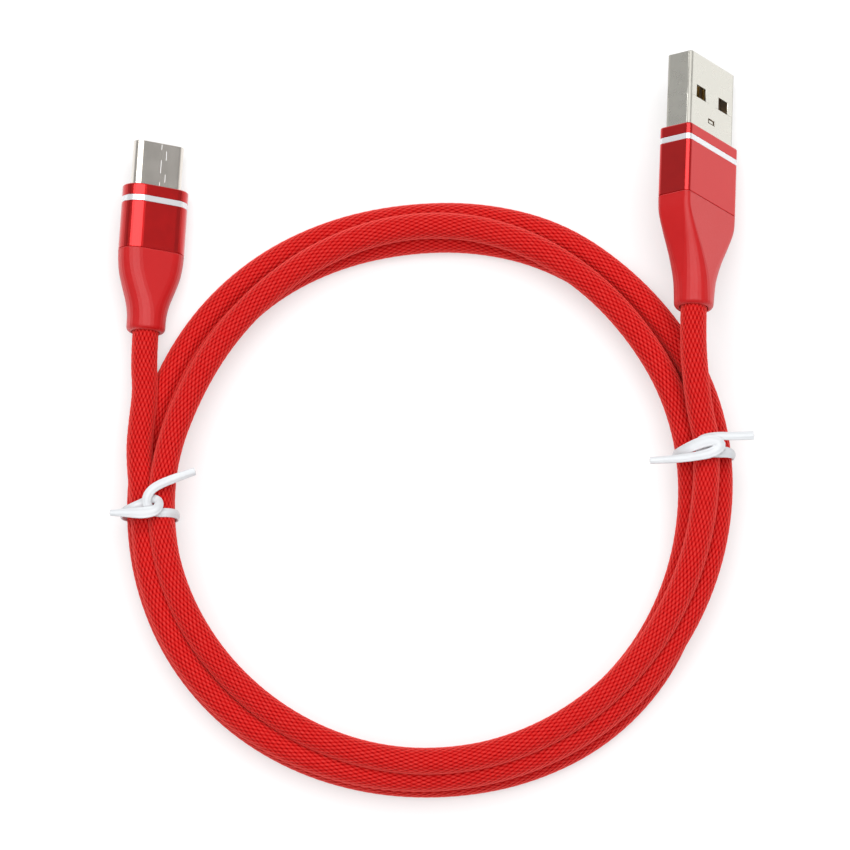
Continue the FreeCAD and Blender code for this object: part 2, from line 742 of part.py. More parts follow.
def device_resistor():
    """The small resistor that tells the device what current it may draw."""
    body = new_body("device_resistor", "device")
    level = f"{DEVICE_BACK} + boardSetback + 0.7"
    chip = rectangle(body, "resistorWidth", "resistorHeight", level, "0.32 * boardWidth")
    chip.setExpression("AttachmentOffset.Base.y", full("boardThickness / 2 + resistorHeight / 2"))
    pad(body, chip, "resistorLength")


def device_inner_mold():
    body = new_body("device_inner_mold", "device")
    inside = f"({HIGH['device']} - 2 * deviceSleeveWall - 2 * moldGap)"
    outside = rounded(
        body,
        f"{WIDE['device']} - 2 * deviceSleeveWall - 2 * moldGap",
        inside,
        f"{inside} * 0.49",
        DEVICE_BACK,
    )
    pad(body, outside, "deviceSleeveLength - deviceSleeveFront - moldGap")
    room = rounded(
        body,
        "deviceShellWidth + 2 * fitGap",
        "deviceShellThickness + 2 * fitGap",
        "(deviceShellThickness + 2 * fitGap) * 0.49",
        DEVICE_FRONT,
    )
    pocket(body, room, "deviceSleeveLength - moldBackWall")
    hole = round_spot(body, "jacketDiameter + 2 * crimpWall + fitGap", f"{DEVICE_BACK} + moldBackWall")
    pocket(body, hole, "2 * moldBackWall")


# Cord, wires and ties: straight runs joined by tangent arcs.
ARC_SHARE = 0.45


def route(points, chords=0):
    """A wire of straight runs and arcs as large as their runs allow, and the arcs' radii.

    Where chords are asked for, each arc is that many of them.
    """
    edges, radii = [], []
    start = points[0]
    for before, here, after in zip(points, points[1:], points[2:]):
        into, away = here - before, after - here
        turn = into.getAngle(away)
        reach = ARC_SHARE * min(into.Length, away.Length)
        radius = reach / math.tan(turn / 2)
        first = here - Vector(into).normalize() * reach
        last = here + Vector(away).normalize() * reach
        side = (Vector(away).normalize() - Vector(into).normalize()).normalize()
        middle = here + side * (radius / math.cos(turn / 2) - radius)
        edges.append(Part.LineSegment(start, first).toShape())
        arc = Part.Arc(first, middle, last)
        if chords:
            share = (arc.LastParameter - arc.FirstParameter) / chords
            spots = [arc.value(arc.FirstParameter + k * share) for k in range(chords + 1)]
            edges += [Part.LineSegment(a, b).toShape() for a, b in zip(spots, spots[1:])]
        else:
            edges.append(arc.toShape())
        radii.append(radius)
        start = last
    edges.append(Part.LineSegment(start, points[-1]).toShape())
    return Part.Wire(edges), radii


def polygon(diameter, sides):
    """The corners of an even polygon as wide as a circle of this diameter across its flats."""
    reach = diameter / 2 / math.cos(math.pi / sides)
    angles = [(k + 0.5) * 2 * math.pi / sides for k in range(sides)]
    return [(reach * math.sin(angle), reach * math.cos(angle)) for angle in angles]


def ribbon(wide, high):
    """The corners of a flat strip."""
    return [(wide / 2, high / 2), (wide / 2, -high / 2), (-wide / 2, -high / 2), (-wide / 2, high / 2)]


MITRED = 1


def tube(points, corners, chords=0):
    """An outline of corners swept along a route, checked against its section times its length."""
    path, radii = route(points, chords)
    heading = (points[1] - points[0]).normalize()
    across = heading.cross(Vector(0, 0, 1)).normalize()
    above = across.cross(heading).normalize()
    outline = [points[0] + across * x + above * y for x, y in corners]
    section = Part.makePolygon(outline + outline[:1])
    solid = path.makePipeShell([section], True, False, MITRED if chords else 0)
    expected = path.Length * Part.Face(section).Area
    if abs(solid.Volume / expected - 1) > 0.02:
        raise RuntimeError("a tube's volume isn't its section times its length")
    return solid, radii, path.Length


def plug_point(plug, x, y, level):
    """A point given along a plug, in the part's own frame."""
    return PLACES[plug].multVec(Vector(x, y, level))


def from_coil(right, ahead, up):
    """A point given from the coil's centre on the surface."""
    return Vector(size("coilCentreRight") + right, size("coilCentreAhead") + ahead, up)


# The uncoiled stretches, from the coil's centre, after a first run straight out of the boot.
LEAD_POINTS = {
    "device": [(-43.5, 15.6, 4.5), (-44.0, 10.6, 5.2), (-43.9, 5.8, 5.6)],
    "host": [(40.95, 17.5, 11.4), (41.4, 13.1, 10.9), (42.2, 8.9, 9.75)],
}
FIRST_RUN = 4.5
CORD_SIDES = 12


def leads():
    for plug, label in (("device", "device_lead"), ("host", "host_lead")):
        points = [plug_point(plug, 0, 0, 0), plug_point(plug, 0, 0, -FIRST_RUN)]
        points += [from_coil(*p) for p in LEAD_POINTS[plug]]
        solid, radii, length = tube(points, polygon(size("cordDiameter"), CORD_SIDES))
        new_feature(label, solid)
        print(label, "length", round(length, 1), "radii", [round(r, 1) for r in radii])


def cord_coil():
    """The outer shape of the bundle of turns, a ring with a bevelled section."""
    body = doc.addObject("PartDesign::Body", "cord_coil")
    body.Label = "cord_coil"
    body.Placement = FreeCAD.Placement(from_coil(0, 0, 0), Rotation())
    nodes.append(body)
    sketch = sketch_on(body, "XZ_Plane")
    wide, high, bevel = size("bundleWidth"), size("bundleHeight"), size("bundleBevel")
    x0, x1 = size("coilRadius") - wide / 2, size("coilRadius") + wide / 2
    corners = [
        Vector(x0, 0),
        Vector(x1, 0),
        Vector(x1, high - bevel),
        Vector(x1 - bevel, high),
        Vector(x0 + bevel, high),
        Vector(x0, high - bevel),
    ]
    for k in range(6):
        sketch.addGeometry(Part.LineSegment(corners[k], corners[(k + 1) % 6]))
    for k in range(6):
        sketch.addConstraint(Sketcher.Constraint("Coincident", k, 2, (k + 1) % 6, 1))
    for k in (0, 3):
        sketch.addConstraint(Sketcher.Constraint("Horizontal", k))
    for k in (1, 5):
        sketch.addConstraint(Sketcher.Constraint("Vertical", k))
    distances = [
        ("DistanceX", (-1, 1, 0, 1), x0, "inner", "coilRadius - bundleWidth / 2"),
        ("DistanceX", (0, 1, 0, 2), wide, "wide", "bundleWidth"),
        ("DistanceY", (0, 1, 3, 1), high, "high", "bundleHeight"),
        ("DistanceX", (3, 1, 1, 2), bevel, "outerBevel", "bundleBevel"),
        ("DistanceY", (1, 2, 3, 1), bevel, "outerDrop", "bundleBevel"),
        ("DistanceX", (0, 1, 3, 2), bevel, "innerBevel", "bundleBevel"),
        ("DistanceY", (5, 1, 3, 1), bevel, "innerDrop", "bundleBevel"),
    ]
    for kind, ends, length, name, expression in distances:
        bind(sketch, sketch.addConstraint(Sketcher.Constraint(kind, *ends, length)), name, expression)
    sketch.addConstraint(Sketcher.Constraint("PointOnObject", 0, 1, -1))
    ring = body.newObject("PartDesign::Revolution", "cordCoilRing")
    ring.Profile = sketch
    ring.ReferenceAxis = (sketch, ["V_Axis"])
    ring.Angle = 360
    doc.recompute()


# The wires are small, so their tubes have six flats.
WIRE_SIDES = 6
WIRE_COLOURS = ("black", "green", "white", "red")


def wires():
    """Four insulated wires that fan out from the stripped cord to what they are soldered to."""
    thick = size("wireDiameter")
    reach = thick / 2 / math.cos(math.pi / WIRE_SIDES)
    corner = 0.64 * thick
    starts = [(-corner, -corner), (-corner, corner), (corner, corner), (corner, -corner)]
    on_tails = size(f"{tongue_top()} - hostPadSunk + hostPadThickness + fitGap") + reach
    on_board = size("boardThickness / 2 + fitGap") + reach
    outer, inner = size("hostSupplyPadOffset"), size("hostDataPadOffset")
    host_ends = [(-outer, on_tails), (-inner, on_tails), (inner, on_tails), (outer, on_tails)]
    wide, narrow = size("boardWidth / 4"), size("boardWidth / 6")
    device_ends = [(-wide, -on_board), (-narrow, on_board), (narrow, on_board), (wide, -on_board)]
    tails = size("hostSleeveLength - hostShellInserted + hostShellWall - hostTailLength")
    board = size("boardSetback")
    for plug, ends, reached in (("host", host_ends, tails), ("device", device_ends, board)):
        base = size(f"{plug}BootLength")
        first = base + size("moldBackWall + moldGap")
        level = base + reached - 0.3
        last = base + reached + 1.4
        for colour, (x, y), (end_x, end_y) in zip(WIRE_COLOURS, starts, ends):
            points = [
                plug_point(plug, x, y, first),
                plug_point(plug, x + 0.03 * (end_x - x), y + 0.03 * (end_y - y), first + 0.25 * (level - first)),
                plug_point(plug, end_x - 0.03 * (end_x - x), end_y, level),
                plug_point(plug, end_x, end_y, last),
            ]
            solid, _, _ = tube(points, polygon(thick, WIRE_SIDES))
            new_feature(f"{plug}_wire_{colour}", solid)


# Each tie's centre line, from the coil's centre. It starts at one tail, hooks round the other end,
# goes down beside the bundle, under it and up again, hooks back and ends at the other tail.
TIE_POINTS = {
    "left": [
        (-34.9, 1.7, 10.6),
        (-38.4, 0.4, 11.2),
        (-41.6, -1.2, 11.4),
        (-42.4, -3.2, 11.0),
        (-41.1, -4.6, 10.1),
        (-38.7, -4.8, 9.8),
        (-37.4, -4.7, 7.6),
        (-37.4, -4.6, 3.0),
        (-39.5, -4.5, 0.85),
        (-44.6, -4.3, 0.85),
        (-46.9, -4.3, 3.0),
        (-46.9, -4.2, 7.4),
        (-45.1, -4.0, 9.6),
        (-42.6, -2.7, 10.0),
        (-40.2, -1.9, 10.1),
        (-38.9, -3.0, 10.6),
        (-39.6, -4.9, 11.3),
        (-42.4, -5.3, 11.4),
        (-45.1, -5.1, 11.0),
        (-47.6, -4.9, 10.5),
    ],
    "right": [
        (49.7, 7.0, 12.4),
        (46.6, 6.8, 12.8),
        (43.3, 7.1, 13.0),
        (41.1, 6.7, 12.8),
        (40.9, 5.1, 12.1),
        (43.2, 4.3, 11.7),
        (45.8, 4.5, 11.2),
        (47.2, 4.4, 9.0),
        (47.35, 4.35, 6.0),
        (47.2, 4.3, 3.0),
        (45.0, 4.2, 0.85),
        (40.0, 4.1, 0.85),
        (37.5, 4.2, 3.0),
        (37.35, 4.25, 6.0),
        (37.5, 4.3, 9.2),
        (39.0, 5.2, 11.2),
        (41.2, 6.3, 11.6),
        (43.6, 7.1, 11.7),
        (45.0, 5.8, 12.2),
        (43.9, 4.0, 12.9),
        (41.0, 3.4, 13.0),
        (37.6, 3.1, 12.7),
        (34.0, 3.1, 12.4),
    ],
}


TIE_CHORDS = 3


def ties():
    for side, points in TIE_POINTS.items():
        line = [from_coil(*p) for p in points]
        outside, radii, length = tube(line, ribbon(size("tieWidth"), size("tieThickness")), TIE_CHORDS)
        core, _, _ = tube(line, ribbon(size("tieWireWidth"), size("tieWireWidth")), TIE_CHORDS)
        new_feature(f"{side}_tie_coating", outside.cut(core))
        new_feature(f"{side}_tie_wire", core)
        print(side, "tie length", round(length, 1), "radii", [round(r, 1) for r in radii])


def build():
    cord_coil()
    leads()
    for plug in ("host", "device"):
        cord_end(f"{plug}_cord_end", plug)
        crimp(f"{plug}_crimp", plug)
    boot("host_boot", "host", "hostSleeveCorner")
    boot("device_boot", "device", OVAL_CORNER)
    host_sleeve()
    trim_ring("host_trim_ring", "host", "hostSleeveCorner", HOST_FRONT)
    host_shell()
    host_insulator()
    host_pads()
    host_inner_mold()
    device_sleeve()
    trim_ring("device_trim_ring", "device", OVAL_CORNER, DEVICE_FRONT)
    device_shell()
    device_insulator()
    leaf_row("device_upper_contacts", UPPER_LEAVES, 1)
    leaf_row("device_lower_contacts", LOWER_LEAVES, -1)
    device_mid_plate()
    device_latch("device_left_latch", 1)
    device_latch("device_right_latch", -1)
    device_spring("device_upper_spring", 1)
    device_spring("device_lower_spring", -1)
    device_board()
    device_resistor()
    device_inner_mold()
    wires()
    ties()
    doc.recompute()


def check():
    for thing in doc.Objects:
        if "Invalid" in thing.State or "Error" in thing.State:
            raise RuntimeError(f"{thing.Name} is {thing.State}")
    for node in nodes:
        if node.Shape.isNull() or not node.Shape.isValid():
            raise RuntimeError(f"{node.Label} has no valid shape")
        if not node.Shape.Solids:
            raise RuntimeError(f"{node.Label} holds no solid")


def write():
    os.makedirs("parts", exist_ok=True)
    for node in nodes:
        node.Shape.exportStep(f"parts/{node.Label}.step")
    whole = FreeCAD.BoundBox()
    for node in nodes:
        whole.add(node.Shape.BoundBox)
    print(len(nodes), "nodes, box", whole)


build()
check()
write()
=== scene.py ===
# Dresses the coiled charging cable: braided cord, twist ties, moulded boots, anodised sleeves and
# plated shells, on a white studio floor. Blender's metres, with the sizes below in millimetres.
import bmesh
import bpy
import json
import math
from mathutils import Matrix, Vector


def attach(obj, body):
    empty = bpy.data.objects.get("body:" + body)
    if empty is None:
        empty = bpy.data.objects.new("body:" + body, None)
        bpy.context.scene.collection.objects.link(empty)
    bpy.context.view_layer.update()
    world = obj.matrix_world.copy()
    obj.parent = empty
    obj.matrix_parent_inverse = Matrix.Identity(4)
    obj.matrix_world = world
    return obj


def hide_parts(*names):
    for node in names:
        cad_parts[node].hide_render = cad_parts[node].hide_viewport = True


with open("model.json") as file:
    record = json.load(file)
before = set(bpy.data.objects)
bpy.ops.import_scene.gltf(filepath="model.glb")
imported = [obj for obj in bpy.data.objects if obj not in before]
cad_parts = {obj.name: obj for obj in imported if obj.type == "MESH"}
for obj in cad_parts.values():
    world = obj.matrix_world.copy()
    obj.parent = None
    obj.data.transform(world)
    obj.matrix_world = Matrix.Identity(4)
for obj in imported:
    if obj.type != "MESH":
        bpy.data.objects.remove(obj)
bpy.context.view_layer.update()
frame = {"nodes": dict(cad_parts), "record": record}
scene = bpy.context.scene
mm = 0.001
print("frame loaded,", len(frame["nodes"]), "nodes")


def paint(red, green, blue):
    # a screen colour, 0 to 255, as the linear colour that a shader takes
    linear = [((c / 255 + 0.055) / 1.055) ** 2.4 if c > 10 else c / 3294 for c in (red, green, blue)]
    return (*linear, 1)


# Shader fields and finishes

class Field:
    # one socket, on which Python's own operators add shader nodes
    def __init__(self, shading, socket):
        self.shading = shading
        self.socket = socket

    def maths(self, operation, *values):
        return self.shading.node("ShaderNodeMath", {"operation": operation}, dict(enumerate(values)))

    def __add__(self, other):
        return self.maths("ADD", self, other)

    def __sub__(self, other):
        return self.maths("SUBTRACT", self, other)

    def __rsub__(self, other):
        return self.maths("SUBTRACT", other, self)

    def __mul__(self, other):
        return self.maths("MULTIPLY", self, other)

    def __truediv__(self, other):
        return self.maths("DIVIDE", self, other)

    def __mod__(self, other):
        return self.maths("FLOORED_MODULO", self, other)

    def __pow__(self, other):
        return self.maths("POWER", self, other)

    def __abs__(self):
        return self.maths("ABSOLUTE", self)

    __radd__ = __add__
    __rmul__ = __mul__

    def floor(self):
        return self.maths("FLOOR", self)

    def sine(self):
        return self.maths("SINE", self)

    def larger(self, other):
        return self.maths("MAXIMUM", self, other)

    def between(self, low, high, start=0.0, end=1.0):
        settings = {"interpolation_type": "SMOOTHSTEP"}
        values = {0: self, 1: low, 2: high, 3: start, 4: end}
        return self.shading.node("ShaderNodeMapRange", settings, values)


class Shading:
    # a node tree, and the one way in which nodes get into it
    def __init__(self, owner):
        owner.use_nodes = True
        self.owner = owner
        self.tree = owner.node_tree
        self.tree.nodes.clear()

    def feed(self, socket, value):
        if isinstance(value, Field):
            self.tree.links.new(value.socket, socket)
        else:
            socket.default_value = value

    def node(self, kind, settings=None, values=None, output=0):
        made = self.tree.nodes.new(kind)
        for key, value in (settings or {}).items():
            setattr(made, key, value)
        for key, value in (values or {}).items():
            self.feed(made.inputs[key], value)
        return Field(self, made.outputs[output]) if len(made.outputs) else made

    def mix(self, factor, first, second):
        return self.node("ShaderNodeMix", {"data_type": "RGBA"}, {0: factor, 6: first, 7: second}, 2)

    def place(self):
        return self.node("ShaderNodeTexCoord", output="Object")

    def axes(self, vector):
        return [self.node("ShaderNodeSeparateXYZ", None, {0: vector}, k) for k in range(3)]

    def inPlug(self, plug):
        # across, up from the middle and along a plug, in its own millimetres
        lie = plugPlace(plug)
        values = {0: self.place(), 1: lie.translation, 2: lie.to_euler(), 3: (mm, mm, mm)}
        return self.axes(self.node("ShaderNodeMapping", {"vector_type": "TEXTURE"}, values))

    def noise(self, scale, detail=2.0, stretch=(1, 1, 1)):
        # scale is in lumps a millimetre, and stretch makes them longer along an axis
        scaled = self.node("ShaderNodeMapping", None, {0: self.place(), 3: stretch})
        values = {"Vector": scaled, "Scale": scale / mm, "Detail": detail}
        return self.node("ShaderNodeTexNoise", None, values)

    def ray(self, kind):
        # 1 for rays of this kind, and otherwise 0
        return self.node("ShaderNodeLightPath", output=f"Is {kind} Ray")

    def turnedAway(self, low, high, most=1.0):
        # from 0 on what faces the eye to most on what is turned away from it
        facing = self.node("ShaderNodeLayerWeight", None, {0: 0.5}, "Facing")
        return facing.between(low, high, 0.0, most)


class Finish(Shading):
    # a material: its constants sit on the shader, and what varies comes from fields
    def __init__(self, name, **constants):
        super().__init__(bpy.data.materials.new(name))
        self.shader = self.node("ShaderNodeBsdfPrincipled")
        self.output = self.node("ShaderNodeOutputMaterial", None, {0: self.shader})
        for key, value in constants.items():
            self.set(key.replace("_", " "), value)

    def set(self, name, value):
        self.feed(self.shader.socket.node.inputs[name], value)

    def bump(self, height, distance):
        self.set("Normal", self.node("ShaderNodeBump", None, {"Height": height, "Distance": distance * mm}))


# Camera, floor, backdrop and lights

camera = {
    "lookAt": (-1.07, -19.64, 0.0),
    "distance": 950,
    "elevation": 77,
    "lens": 262.2,
    "sensor": 36,
    "nearest": 10,  # what it sees starts here
}
studio = {
    "floorSize": 40.0,  # metres, as all of the studio's sizes
    "floorColour": (0.9, 0.9, 0.9, 1),
    "floorGlow": 0.45,  # how much of the floor is plain white to the camera and in reflections
    "dome": 0.25,  # the light from all round
    "domeMirrored": 0.42,  # and how bright it is in reflections
    "horizon": (0.1, 0.24),  # reflections turn from white to the dome's level between these heights
    "softboxLevel": 3.1,
    "softboxSize": 2.0,
    "softboxPlace": (0.0, 0.08, 1.4),
}


def setCamera(look):
    eye = bpy.data.objects.new("camera", bpy.data.cameras.new("camera"))
    scene.collection.objects.link(eye)
    eye.data.lens = look["lens"]
    eye.data.sensor_width = look["sensor"]
    eye.data.clip_start = look["nearest"] * mm
    tilt = math.radians(look["elevation"])
    back = Vector((0, -math.cos(tilt), math.sin(tilt)))
    eye.location = (Vector(look["lookAt"]) + back * look["distance"]) * mm
    eye.rotation_euler = (-back).to_track_quat("-Z", "Y").to_euler()
    scene.camera = eye


def setFloor(look):
    bm = bmesh.new()
    bmesh.ops.create_grid(bm, x_segments=8, y_segments=8, size=look["floorSize"] / 2)
    white = Finish("floorWhite", Base_Color=look["floorColour"], Roughness=0.9)
    seen = white.ray("Camera").larger(white.ray("Glossy")).larger(white.ray("Transmission"))
    share = seen * look["floorGlow"]
    glow = white.node("ShaderNodeEmission")
    both = white.node("ShaderNodeMixShader", None, {0: share, 1: white.shader, 2: glow})
    white.feed(white.output.inputs[0], both)
    floor = addPiece("floor", bm, white)


def setBackdrop(look):
    scene.world = bpy.data.worlds.new("studio")
    world = Shading(scene.world)
    height = world.axes(world.node("ShaderNodeTexCoord", output="Generated"))[2]
    mirrored = height.between(*look["horizon"], 1.0, look["domeMirrored"])
    mirrored = mirrored * world.ray("Glossy").larger(world.ray("Transmission"))
    level = world.ray("Camera").larger(mirrored).larger(look["dome"])
    light = world.node("ShaderNodeBackground", None, {1: level})
    world.node("ShaderNodeOutputWorld", None, {0: light})


def setSoftbox(look):
    lamp = bpy.data.lights.new("softbox", "AREA")
    lamp.size = look["softboxSize"]
    lamp.energy = look["softboxLevel"] * math.pi * look["softboxSize"] ** 2
    softbox = bpy.data.objects.new("softbox", lamp)
    scene.collection.objects.link(softbox)
    softbox.location = look["softboxPlace"]
    softbox.rotation_euler = (-Vector(look["softboxPlace"])).to_track_quat("-Z", "Y").to_euler()
    softbox.visible_camera = False


# Modelling steps that the pieces share

def addPiece(name, bm, finish, crease=40):
    # edges that turn by more than crease, in degrees, stay sharp, and tagged faces stay flat
    for face in bm.faces:
        face.smooth = not face.tag
    for edge in bm.edges:
        edge.smooth = edge.calc_face_angle(0) < math.radians(crease)
    mesh = bpy.data.meshes.new(name)
    bm.to_mesh(mesh)
    bm.free()
    piece = bpy.data.objects.new(name, mesh)
    scene.collection.objects.link(piece)
    mesh.materials.append(finish.owner)
    return piece


def smoothThrough(stations, at):
    # the value at a place, on a smooth curve through stations of (place, value)
    last = len(stations) - 2
    k = next((i for i in range(last + 1) if at <= stations[i + 1][0]), last)
    (x0, y0), (x1, y1) = stations[k], stations[k + 1]
    before, after = stations[max(k - 1, 0)], stations[min(k + 2, last + 1)]
    width = x1 - x0
    leave = (y1 - before[1]) / (x1 - before[0]) * width
    arrive = (after[1] - y0) / (after[0] - x0) * width
    t = (at - x0) / width
    start = y0 * (1 + 2 * t) + leave * t
    end = y1 * (3 - 2 * t) + arrive * (t - 1)
    return start * (1 - t) ** 2 + end * t**2


def splineLine(points, resolution):
    # the points of a smooth line that has the given ones as its control points
    data = bpy.data.curves.new("route", "CURVE")
    data.dimensions = "3D"
    spline = data.splines.new("NURBS")
    spline.points.add(len(points) - 1)
    for point, place in zip(spline.points, points):
        point.co = (*place, 1)
    spline.order_u = 3
    spline.use_endpoint_u = True
    spline.resolution_u = resolution
    carrier = bpy.data.objects.new("route", data)
    mesh = bpy.data.meshes.new_from_object(carrier)
    line = [vertex.co.copy() for vertex in mesh.vertices]
    bpy.data.objects.remove(carrier)
    bpy.data.meshes.remove(mesh)
    return line


def lineLength(line):
    return sum((b - a).length for a, b in zip(line, line[1:]))


def evenLine(line, count):
    # the same line as count + 1 points, evenly spaced
    step = lineLength(line) / count
    even = [line[0]]
    gone = 0.0
    for a, b in zip(line, line[1:]):
        run = (b - a).length
        while len(even) < count and step * len(even) <= gone + run:
            even.append(a.lerp(b, (step * len(even) - gone) / run))
        gone += run
    return even + [line[-1]]


def rollUp(sides, rings, at, capped=True):
    # a tube: a grid whose columns run round it, with at(ring, side) giving each point
    bm = bmesh.new()
    bmesh.ops.create_grid(bm, x_segments=sides, y_segments=rings - 1, size=0.5)
    bm.verts.ensure_lookup_table()
    bm.verts.index_update()
    wrap = bm.loops.layers.uv.new("wrap")
    for face in bm.faces:
        for loop in face.loops:
            ring, side = divmod(loop.vert.index, sides + 1)
            loop[wrap].uv = (side / sides, ring)
    for vert in bm.verts:
        ring, side = divmod(vert.index, sides + 1)
        vert.co = at(ring, side % sides)
    bmesh.ops.remove_doubles(bm, verts=bm.verts, dist=1e-7)  # closes the grid along its two edges
    if capped:
        bmesh.ops.holes_fill(bm, edges=[edge for edge in bm.edges if edge.is_boundary], sides=0)
    bmesh.ops.recalc_face_normals(bm, faces=bm.faces)
    return bm


def sweep(line, sides, profile, faced=None):
    # profile(ring, side) gives how far a point lies across the line and up from it;
    # faced is a point of the level line, along the cord, that the underside is turned to
    last = len(line) - 1
    ahead = [(line[min(k + 2, last)] - line[max(k - 2, 0)]).normalized() for k in range(last + 1)]
    ups = []
    up = Vector((0, 0, 1))
    for point, heading in zip(line, ahead):
        if faced:
            up = Vector((point.x - faced.x, 0, point.z - faced.z))
        up = (up - heading * up.dot(heading)).normalized()
        ups.append(up)

    def at(ring, side):
        across, out = profile(ring, side)
        return line[ring] + ahead[ring].cross(ups[ring]) * across + ups[ring] * out

    return rollUp(sides, last + 1, at)


def cornered(width, height, corner, side, steps=8, flats=6):
    # a point of a rounded rectangle, walked round as four corners with flats between them
    quarter, k = divmod(side, steps + flats)
    turn = math.radians(90 * (quarter + min(k, steps) / steps))
    signs = [(1, 1), (-1, 1), (-1, -1), (1, -1)]
    middle = Vector((signs[quarter][0] * (width / 2 - corner), signs[quarter][1] * (height / 2 - corner)))
    point = middle + Vector((math.cos(turn), math.sin(turn))) * corner
    if k > steps:
        following = signs[(quarter + 1) % 4]
        nextMiddle = Vector((following[0] * (width / 2 - corner), following[1] * (height / 2 - corner)))
        start = Vector((math.cos(turn), math.sin(turn))) * corner
        point = (middle + start).lerp(nextMiddle + start, (k - steps) / flats)
    return point


def stackRings(rings, place, steps=8, flats=6, capped=True):
    # rings are (width, height, corner, level) from one end to the other
    def at(ring, side):
        width, height, corner, level = rings[ring]
        point = cornered(width, height, corner, side, steps, flats)
        return place @ Vector((point.x, point.y, level))

    return rollUp(4 * (steps + flats), len(rings), at, capped)


def turned(angle, axis):
    return Matrix.Rotation(math.radians(angle), 4, axis)


def plugPlace(plug):
    # from a plug's own millimetres, with the mouth along +Z and the upper wide face on +Y
    lie = turned(-plug["heading"], "Z") @ turned(-90 - plug["droop"], "X") @ turned(180 + plug["roll"], "Z")
    return Matrix.Translation(Vector(plug["exit"]) * mm) @ lie @ Matrix.Scale(mm, 4)


hostPlug = {"exit": (39.85, -3.9, 10.75), "heading": 2.55, "droop": 6.9, "roll": 53.6}
devicePlug = {"exit": (-43.93, -6.0, 3.9), "heading": 3.4, "droop": 0.0, "roll": 26.6}


# Cord: one length from boot to boot, three and a half turns of it lying in the coil

braid = {
    "strands": 20,  # of each hand, wound round the cord
    "pitch": 0.43,  # how much of a turn they make in one circumference's length
    # painted shading: high on the strands' lit crowns, low where they dip under the others
    "high": (199, 40, 37),
    "low": (180, 10, 12),
    # painted highlights on the threads' tops
    "thread": (232, 98, 92),
    # painted shade in the slits between strands
    "slit": (136, 1, 5),
    "rim": (250, 94, 87),  # painted sheen on a lap's sides that are turned away from the eye
    "slitSize": (0.085, 0.26),  # half of its width and of its length
    "slitEdge": (0.45, 1.5),  # it fades between these shares of its size, squared
    "threads": 3,  # to a strand
    "threadShare": 0.45,
    # the painted sheen grows between these two facing values, up to its share
    "paintedSheenFrom": 0.25,
    "paintedSheenFull": 0.8,
    "paintedSheenShare": 0.7,
    "flatness": 0.6,  # 1 gives the strands the tops of a sine, and less flatter ones
    "relief": 0.045,  # the height of the bump, and the shares that threads and slits have in it
    "threadRelief": 0.15,
    "slitRelief": 0.5,
}
cord = {
    "diameter": 4.0,
    "centre": (-1.03, -31.0),  # of the coil
    "radius": 42.5,
    "oval": (-0.73, 0.88),  # how far the coil is from round, by twice the angle
    "trefoil": (-0.30, -0.26),  # and by three times the angle
    "inBoot": 1.5,
    "firstRun": 4.5,  # straight out of the boot
    "step": 15,  # degrees between the coil's points
    "smoothness": 24,  # steps from one point of the route to the next
    "pathStep": 4,  # rows of the braid from one point of the sampled path to the next
    "slit": 0.035,  # depth of the gaps between strands
    "crown": 0.02,
}
deviceLead = [(-42.75, 15.6, 4.5), (-43.3, 10.6, 5.2), (-43.65, 5.8, 5.6)]  # from the coil's centre
hostLead = [(40.95, 17.5, 11.4), (41.4, 13.1, 10.9), (42.2, 8.9, 9.75)]
laps = [  # for each lap, at these angles: how far out of the coil's middle, and how high
    [(182, 0.45, 6.3), (225, 1.8, 5.4), (270, 1.5, 5.4), (315, 2.3, 5.5), (369, 3.3, 5.8),
     (405, 1.65, 3.2), (425, 1.4, 2.4), (450, 0.3, 2.0), (495, 2.3, 2.0)],
    [(182, 1.3, 2.9), (225, 1.8, 2.0), (270, 1.8, 2.0), (315, 3.1, 2.0),
     (369, -0.3, 2.9), (405, -1.1, 2.0), (450, -3.45, 2.0), (495, -1.3, 2.0)],
    [(182, -2.0, 3.4), (225, -1.9, 2.2), (270, -1.7, 2.2), (315, -0.8, 2.6), (369, -1.2, 6.2),
     (405, -2.7, 5.8), (450, -1.9, 5.5), (495, -2.2, 5.8), (520, -2.55, 6.6)],
    [(182, -2.0, 8.0), (225, -2.0, 7.0), (270, -0.6, 8.0), (315, -0.2, 8.0), (369, 1.3, 9.3)],
]


def fromCentre(points):
    x, y = cord["centre"]
    return [Vector((px + x, py + y, pz)) * mm for px, py, pz in points]


def coilPoints(look):
    outward = [(lap * 360 + at, out) for lap, row in enumerate(laps) for at, out, high in row]
    upward = [(lap * 360 + at, high) for lap, row in enumerate(laps) for at, out, high in row]
    first, last = outward[0][0], outward[-1][0]
    count = round((last - first) / look["step"])
    spare = 1 / (0.75 + 0.25 * math.cos(math.radians(look["step"])))  # the spline runs inside its points
    points = []
    for k in range(count + 1):
        at = first + (last - first) * k / count
        turn = math.radians(at)
        oval = look["oval"][0] * math.cos(2 * turn) + look["oval"][1] * math.sin(2 * turn)
        trefoil = look["trefoil"][0] * math.cos(3 * turn) + look["trefoil"][1] * math.sin(3 * turn)
        radius = (look["radius"] + oval + trefoil + smoothThrough(outward, at)) * spare
        points.append((radius * math.cos(turn), radius * math.sin(turn), smoothThrough(upward, at)))
    return points


def boundFor(plug, distance):
    return plugPlace(plug) @ Vector((0, 0, distance))


